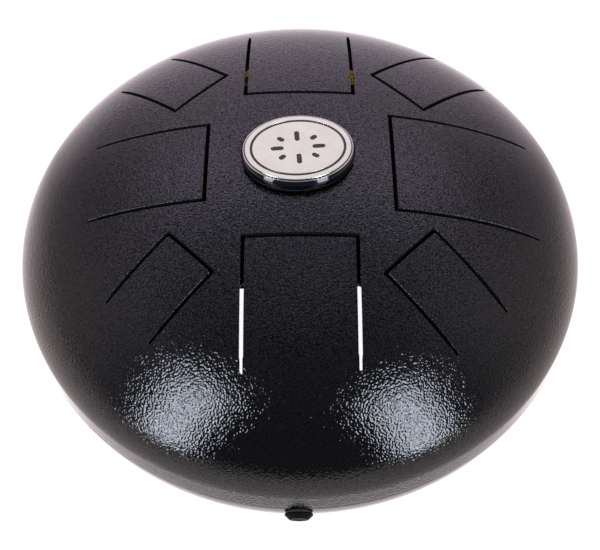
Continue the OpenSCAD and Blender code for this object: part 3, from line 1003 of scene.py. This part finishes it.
def make_label(gold):
    """Thin gold-coloured label that follows the rear wall inside, with rounded corners."""
    z1 = EQ_Z - WELD_H / 2 - 0.5
    half = 150.2 * math.asin(LABEL_HALF_W / 150.2)
    c = 2.0
    corner = [(-half, z1 - LABEL_H), (half, z1 - LABEL_H), (half, z1), (-half, z1)]
    loop = rounded(corner, [c] * 4, 6, True)
    dense = []
    for i in range(len(loop)):
        p, q = loop[i], loop[(i + 1) % len(loop)]
        k = max(1, int(np.linalg.norm(q - p) / 2.0))
        dense += [p + (q - p) * t / k for t in range(k)]
    loop = np.array(dense)
    fill = [(x, z) for x in np.arange(-half + 1.5, half - 1, 2.0) for z in np.arange(z1 - LABEL_H + 1.5, z1 - 1, 2.0)
            if ((loop - (x, z)) ** 2).sum(1).min() > 1.0]
    pts, edges, _ = triangulate([loop], [], fill)
    tri = cdt(pts, edges)
    P = np.array(pts)
    tri = tri[inside(loop, P[tri].mean(1))]

    def wall(off):
        d = EQ_Z - P[:, 1]
        r = low_radius(d, IN_R - off, IN_LOWER_H - off)
        f = P[:, 0] / 150.2
        n = unit(np.stack([(r / IN_R) ** (LOWER_N - 1) / IN_R, -(d / IN_LOWER_H) ** (LOWER_N - 1) / IN_LOWER_H], -1))
        return (np.stack([r * np.sin(f), r * np.cos(f), P[:, 1]], -1),
                np.stack([n[:, 0] * np.sin(f), n[:, 0] * np.cos(f), n[:, 1]], -1))
    b = Build()
    back, n = wall(0.08)
    front, _ = wall(0.28)
    ib, jf = b.add(back, n), b.add(front, -n)
    for t in tri:
        b.face(ib[t])
        b.face(jf[t])
    k = len(loop)
    centre = front[:k].mean(0)
    for i in range(k):
        j = (i + 1) % k
        q = (front[i] + front[j]) / 2
        b.face((ib[i], ib[j], jf[j], jf[i]), 0, tuple(q - centre))
    return b.make("inside_label_gold", [gold])


# ---------------------------------------------------------------- more materials
def simple_material(name, colours, colour_scale, rough, metallic=0.0, bump_scale=0.0, bump_mm=0.0, ior=1.5, detail=3.0):
    """A procedural finish: two close tones, uneven gloss and a fine relief."""
    m, nt, bsdf, obj = new_material(name)
    tone = ramp(nt, noise(nt, obj, colour_scale, detail, 0.6), [(0.32, colours[0]), (0.68, colours[1])], True)
    nt.links.new(tone, bsdf.inputs["Base Color"])
    nt.links.new(span(nt, noise(nt, obj, colour_scale * 2.3, 2.0, 0.6), rough[0], rough[1], 0.3, 0.7), bsdf.inputs["Roughness"])
    bsdf.inputs["Metallic"].default_value = metallic
    bsdf.inputs["IOR"].default_value = ior
    if bump_mm:
        bump(nt, bsdf, noise(nt, obj, bump_scale, 2.0, 0.5), bump_mm * MM)
    return m


MAT_PUCK = simple_material("black_gloss_enamel", ((0.0014, 0.0015, 0.0018), (0.0022, 0.0024, 0.0030)), 60, (0.05, 0.11),
                           bump_scale=160, bump_mm=0.01)
MAT_CHROME = simple_material("polished_bezel", ((0.80, 0.78, 0.76), (0.88, 0.86, 0.84)), 300, (0.10, 0.18), 1.0, 900, 0.01)
MAT_PLATE = simple_material("silver_plate", ((0.64, 0.66, 0.50), (0.69, 0.71, 0.54)), 90, (0.20, 0.28), 1.0, 500, 0.012)
MAT_INLAY = simple_material("dark_inlay", ((0.022, 0.018, 0.019), (0.034, 0.028, 0.030)), 400, (0.38, 0.52), 0.0, 1800, 0.03)
MAT_FOAM = simple_material("black_foam", ((0.008, 0.008, 0.009), (0.016, 0.016, 0.017)), 700, (0.85, 0.98), 0.0, 1500, 0.25)
MAT_RUBBER = simple_material("moulded_rubber", ((0.0018, 0.0017, 0.0018), (0.0036, 0.0034, 0.0036)), 250, (0.46, 0.60), 0.0, 2400, 0.03)
MAT_RUBBER.node_tree.nodes["Principled BSDF"].inputs["IOR"].default_value = 1.25
MAT_RUBBER.node_tree.nodes["Principled BSDF"].inputs["Specular IOR Level"].default_value = 0.18
MAT_ADHESIVE = simple_material("adhesive_foam", ((0.020, 0.020, 0.019), (0.034, 0.034, 0.032)), 500, (0.80, 0.95), 0.0, 1400, 0.15)


def label_material():
    """Gold foil label, printed with a fine mottle and one plain dark panel."""
    m, nt, bsdf, obj = new_material("gold_label")
    foil = ramp(nt, noise(nt, obj, 120, 3.0, 0.6), [(0.32, (0.78, 0.44, 0.045)), (0.68, (0.98, 0.60, 0.075))], True)
    sep = nt.nodes.new("ShaderNodeSeparateXYZ")
    nt.links.new(obj, sep.inputs[0])
    z1 = (EQ_Z - WELD_H / 2 - 0.5) * MM
    low = span(nt, sep.outputs[2], 0.0, 1.0, z1 - 0.0094, z1 - 0.0090)
    high = span(nt, sep.outputs[2], 1.0, 0.0, z1 - 0.0050, z1 - 0.0046)
    left = span(nt, sep.outputs[0], 1.0, 0.0, 0.0150, 0.0154)
    right = span(nt, sep.outputs[0], 0.0, 1.0, -0.0376, -0.0372)
    panel = math_node(nt, "MULTIPLY", math_node(nt, "MULTIPLY", low, high), math_node(nt, "MULTIPLY", left, right))
    mottle = span(nt, noise(nt, obj, 520, 1.0, 0.5), 0.0, 0.55, 0.50, 0.62)
    ink = math_node(nt, "MAXIMUM", math_node(nt, "MULTIPLY", panel, 0.97), mottle)
    mix = nt.nodes.new("ShaderNodeMix")
    mix.data_type = "RGBA"
    nt.links.new(ink, mix.inputs[0])
    nt.links.new(foil, mix.inputs[6])
    mix.inputs[7].default_value = (0.012, 0.010, 0.008, 1)
    nt.links.new(mix.outputs[2], bsdf.inputs["Base Color"])
    nt.links.new(span(nt, noise(nt, obj, 280, 2.0, 0.6), 0.34, 0.46, 0.3, 0.7), bsdf.inputs["Roughness"])
    bsdf.inputs["Metallic"].default_value = 0.25
    bsdf.inputs["Specular IOR Level"].default_value = 0.15
    bump(nt, bsdf, noise(nt, obj, 260, 2.0, 0.5), 0.00003)
    return m


MAT_LABEL = label_material()

body_pieces = [
    (make_lower([MAT_COAT, MAT_INSIDE]), "lower_shell", "coated_steel"),
    (make_weld(MAT_COAT), "seam_weld", "coated_steel"),
    (make_pad(MAT_FOAM), "badge_pad", "foam"),
    (make_badge_base(MAT_PUCK), "badge_base", "badge_black"),
    (make_bumper("bumper_front_rubber", 0, MAT_RUBBER), "bumper_front", "rubber"),
    (make_bumper("bumper_rear_right_rubber", 120, MAT_RUBBER), "bumper_rear_right", "rubber"),
    (make_bumper("bumper_rear_left_rubber", 240, MAT_RUBBER), "bumper_rear_left", "rubber"),
    (make_bumper_pads(MAT_ADHESIVE), "bumper_pads", "adhesive"),
    (make_label(MAT_LABEL), "inside_label", "label_gold"),
]
plate, inlay = make_plate(MAT_PLATE, MAT_INLAY)
body_pieces += [(plate, "badge_plate", "badge_metal"), (inlay, "badge_inlay", "badge_inlay"),
                (make_bezel(MAT_CHROME), None, "badge_metal")]
for obj, node, slot in body_pieces:
    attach(obj, "drum_body")
    if node:
        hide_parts(node)


# ---------------------------------------------------------------- camera
def camera():
    """Looks down at the drum from its front; the angles come from the slots' perspective."""
    e, far = 0.9456, 3.71 * BODY_R
    tip, pan, roll, turn = -0.0242, -0.0001, -0.0032, 0.0024
    pos = far * np.array([0, -math.cos(e), math.sin(e)])
    fwd = -unit(pos)
    right = np.array([1.0, 0, 0])
    up = np.cross(right, fwd)
    c, s = math.cos(tip), math.sin(tip)
    y, z = c * up - s * fwd, s * up + c * fwd
    c, s = math.cos(pan), math.sin(pan)
    x, z = c * right - s * z, s * right + c * z
    c, s = math.cos(roll), math.sin(roll)
    x, y = c * x + s * y, -s * x + c * y
    m = np.stack([x, y, -z], 1)
    c, s = math.cos(-turn), math.sin(-turn)
    rot = np.array([[c, -s, 0], [s, c, 0], [0, 0, 1]])
    m, pos = rot @ m, rot @ pos + np.array([0, 0, EQ_Z])
    cam = bpy.data.cameras.new("camera")
    cam.sensor_width = 36.0
    cam.sensor_fit = "HORIZONTAL"
    cam.lens = 996.62 / 600 * 36.0
    cam.clip_start, cam.clip_end = 0.01, 50.0
    obj = bpy.data.objects.new("camera", cam)
    full = np.eye(4)
    full[:3, :3], full[:3, 3] = m, pos * MM
    obj.matrix_world = Matrix(full.tolist())
    bpy.context.scene.collection.objects.link(obj)
    bpy.context.scene.camera = obj


camera()


# ---------------------------------------------------------------- floor and light
def studio():
    """White floor with painted shade under the body and a painted glow that the body mirrors, a pale room that darkens
    towards the viewer, and two tall softboxes.
    """
    scene = bpy.context.scene
    scene.view_settings.view_transform = "Standard"
    scene.view_settings.look = "None"

    # the room, told by the direction that a ray leaves in
    world = bpy.data.worlds.new("studio")
    scene.world = world
    world.use_nodes = True
    nt = world.node_tree
    nt.nodes.clear()
    out = nt.nodes.new("ShaderNodeOutputWorld")
    room = nt.nodes.new("ShaderNodeBackground")
    seen = nt.nodes.new("ShaderNodeBackground")
    seen.inputs["Color"].default_value = (1, 1, 1, 1)
    seen.inputs["Strength"].default_value = 1.0
    mix = nt.nodes.new("ShaderNodeMixShader")
    path = nt.nodes.new("ShaderNodeLightPath")
    nt.links.new(path.outputs["Is Camera Ray"], mix.inputs[0])
    nt.links.new(room.outputs[0], mix.inputs[1])
    nt.links.new(seen.outputs[0], mix.inputs[2])
    nt.links.new(mix.outputs[0], out.inputs["Surface"])
    coord = nt.nodes.new("ShaderNodeTexCoord")
    sep = nt.nodes.new("ShaderNodeSeparateXYZ")
    nt.links.new(coord.outputs["Generated"], sep.inputs[0])
    x, y, z = sep.outputs
    flat = math_node(nt, "SQRT", math_node(nt, "MAXIMUM", math_node(nt, "SUBTRACT", 1.0, math_node(nt, "MULTIPLY", z, z)), 1e-5))
    # 0 towards the viewer's side, 1 at the rear
    back = math_node(nt, "DIVIDE", math_node(nt, "ARCCOSINE", math_node(nt, "DIVIDE", math_node(nt, "MULTIPLY", y, -1.0), flat)), math.pi)
    # for each height its colours from the front round to the rear
    bands = [
        (None, [(0.00, (0.12, 0.12, 0.14)), (0.28, (0.14, 0.14, 0.16)), (0.42, (0.45, 0.42, 0.45)), (0.52, (0.64, 0.565, 0.62)),
                (0.66, (0.52, 0.455, 0.505)), (0.73, (0.44, 0.38, 0.45)), (0.80, (0.66, 0.55, 0.68)), (0.87, (0.96, 0.80, 0.97)),
                (1.00, (1.04, 0.87, 1.10))]),
        ((33, 40), [(0.00, (0.14, 0.14, 0.16)), (0.30, (0.17, 0.17, 0.20)), (0.50, (0.58, 0.54, 0.66)), (0.70, (0.62, 0.56, 0.70)),
                    (0.76, (0.95, 0.84, 1.10)), (0.82, (1.25, 1.10, 1.42)), (1.00, (1.16, 1.02, 1.34))]),
        ((54, 63), [(0.00, (0.17, 0.17, 0.21)), (0.45, (0.26, 0.26, 0.31)), (0.70, (0.45, 0.43, 0.54)), (1.00, (0.58, 0.57, 0.73))]),
        ((78, 88), [(0.00, (0.36, 0.34, 0.44)), (1.00, (0.44, 0.42, 0.53))])]
    colour = None
    for span_, stops in bands:
        got = ramp(nt, back, stops, True)
        if colour is None:
            colour = got
            continue
        m = nt.nodes.new("ShaderNodeMix")
        m.data_type = "RGBA"
        lo, hi = (math.sin(math.radians(v)) for v in span_)
        nt.links.new(span(nt, z, 0.0, 1.0, lo, hi), m.inputs[0])
        nt.links.new(colour, m.inputs[6])
        nt.links.new(got, m.inputs[7])
        colour = m.outputs[2]
    nt.links.new(colour, room.inputs["Color"])

    # the floor: a pale table whose front edge lies before the drum, with the bright
    # sheet under the port that shows through the slots; to the camera its emission paints the shade under the body
    mat, nt, bsdf, obj = new_material("pale_floor_painted_shade_and_glow")
    out = next(n for n in nt.nodes if n.type == "OUTPUT_MATERIAL")
    bsdf.inputs["Base Color"].default_value = (0.22, 0.22, 0.22, 1)
    bsdf.inputs["Roughness"].default_value = 0.9
    bsdf.inputs["Specular IOR Level"].default_value = 0.0
    bsdf.inputs["Emission Color"].default_value = (1.0, 1.0, 1.0, 1)
    bsdf.inputs["Emission Strength"].default_value = 0.955
    shade = nt.nodes.new("ShaderNodeVectorMath")
    shade.operation = "LENGTH"
    nt.links.new(obj, shade.inputs[0])
    place = nt.nodes.new("ShaderNodeSeparateXYZ")
    nt.links.new(obj, place.inputs[0])
    # painted shade: inside the port the far part of the floor is darkened where the body's shade falls
    edge = math_node(nt, "SUBTRACT", place.outputs[1], math_node(nt, "MULTIPLY", place.outputs[0], 0.0175))
    within = span(nt, shade.outputs["Value"], 1.0, 0.0, 0.0504, 0.0518)
    painted_shade_level = math_node(nt, "MULTIPLY", within, span(nt, edge, 1.0, 0.0, 0.0306, 0.0308))
    # and a painted contact shadow: under the overhang the floor darkens softly towards the rim that stands on it
    soft = ramp(nt, shade.outputs["Value"], [(0.052, 0.35), (0.060, 0.62), (0.074, 0.88), (0.096, 1.0)])
    painted_shade_level = math_node(nt, "ADD", painted_shade_level, math_node(nt, "MULTIPLY", soft, math_node(nt, "SUBTRACT", 1.0, within)))
    nt.links.new(math_node(nt, "MULTIPLY", painted_shade_level, 0.955), bsdf.inputs["Emission Strength"])
    # painted light: for every ray but the camera's the floor glows though it is no lamp, with a tint and strength that
    # change round the body so that the coat mirrors them
    glow = nt.nodes.new("ShaderNodeEmission")
    dist = nt.nodes.new("ShaderNodeVectorMath")
    dist.operation = "LENGTH"
    nt.links.new(obj, dist.inputs[0])
    sep = nt.nodes.new("ShaderNodeSeparateXYZ")
    nt.links.new(obj, sep.inputs[0])
    x, y = sep.outputs[0], sep.outputs[1]
    far = dist.outputs["Value"]
    side = math_node(nt, "DIVIDE", x, math_node(nt, "ADD", far, 0.02))
    round_ = math_node(nt, "DIVIDE", y, math_node(nt, "ADD", far, 0.02))
    tint = ramp(nt, span(nt, round_, 0.0, 1.0, -1.0, 1.0), [
        (0.00, (0.77, 0.715, 0.725)), (0.10, (0.68, 0.62, 0.63)), (0.25, (0.74, 0.66, 0.67)), (0.50, (1.04, 0.885, 0.885)), (0.70, (1.10, 0.94, 0.97)),
        (0.80, (0.80, 0.69, 0.73)), (0.88, (1.20, 1.03, 1.12)), (1.00, (1.34, 1.15, 1.28))], True)
    nt.links.new(tint, glow.inputs["Color"])
    level = math_node(nt, "SUBTRACT", 1.0, math_node(nt, "MULTIPLY", side, 0.14))
    level = math_node(nt, "MULTIPLY", level, ramp(nt, far, [(0.20, 1.0), (0.30, 1.18), (0.50, 1.0), (1.00, 0.82)]))
    # painted glow: the sheet's emission is raised close under the body, where the body's lower rim mirrors it
    under = ramp(nt, far, [(0.150, 0.95), (0.174, 0.90), (0.183, 0.45), (0.192, 0.0)])
    level = math_node(nt, "ADD", level, under)
    # painted light: inside the port the floor glows brighter and lights the body's inside
    near = ramp(nt, far, [(0.05, 1.0), (0.09, 0.0)])
    level = math_node(nt, "ADD", math_node(nt, "MULTIPLY", level, span(nt, near, 1.0, 0.0)), math_node(nt, "MULTIPLY", near, 1.5))
    nt.links.new(level, glow.inputs["Strength"])
    hole = nt.nodes.new("ShaderNodeBsdfTransparent")
    table = nt.nodes.new("ShaderNodeMixShader")
    nt.links.new(span(nt, y, 0.0, 1.0, -0.66, -0.58), table.inputs[0])
    nt.links.new(hole.outputs[0], table.inputs[1])
    nt.links.new(glow.outputs[0], table.inputs[2])
    path = nt.nodes.new("ShaderNodeLightPath")
    seen = nt.nodes.new("ShaderNodeMixShader")
    nt.links.new(path.outputs["Is Camera Ray"], seen.inputs[0])
    nt.links.new(table.outputs[0], seen.inputs[1])
    nt.links.new(bsdf.outputs[0], seen.inputs[2])
    nt.links.new(seen.outputs[0], out.inputs["Surface"])
    mesh = bpy.data.meshes.new("floor")
    mesh.from_pydata([(-6, -6, 0), (6, -6, 0), (6, 6, 0), (-6, 6, 0)], [], [(0, 1, 2, 3)])
    mesh.materials.append(mat)
    floor = bpy.data.objects.new("floor", mesh)
    scene.collection.objects.link(floor)
    floor.location.z = -0.0001

    # two tall softboxes at the front left and front right, each placed from the spot
    # of the body that mirrors it
    for name, spot, az, el, wide, tall, level in (
            ("softbox_left", (-0.053, -0.119, 0.131), -43.4, 21.9, 17.8, 58.4, 11.0),
            ("softbox_right", (0.053, -0.123, 0.128), 38.7, 19.8, 18.2, 57.8, 10.9)):
        far = 1.3
        a, t = math.radians(az), math.radians(el)
        d = Vector((math.sin(a) * math.cos(t), -math.cos(a) * math.cos(t), math.sin(t)))
        w, h = 2 * far * math.tan(math.radians(wide / 2)), 2 * far * math.tan(math.radians(tall / 2))
        lamp = bpy.data.lights.new(name, "AREA")
        lamp.shape, lamp.size, lamp.size_y = "RECTANGLE", w, h
        lamp.color = (0.80, 0.86, 1.0)
        lamp.energy = level * math.pi * w * h
        o = bpy.data.objects.new(name, lamp)
        o.location = d * far + Vector(spot)
        o.rotation_euler = d.to_track_quat("Z", "Y").to_euler()
        o.visible_camera = False
        scene.collection.objects.link(o)


studio()
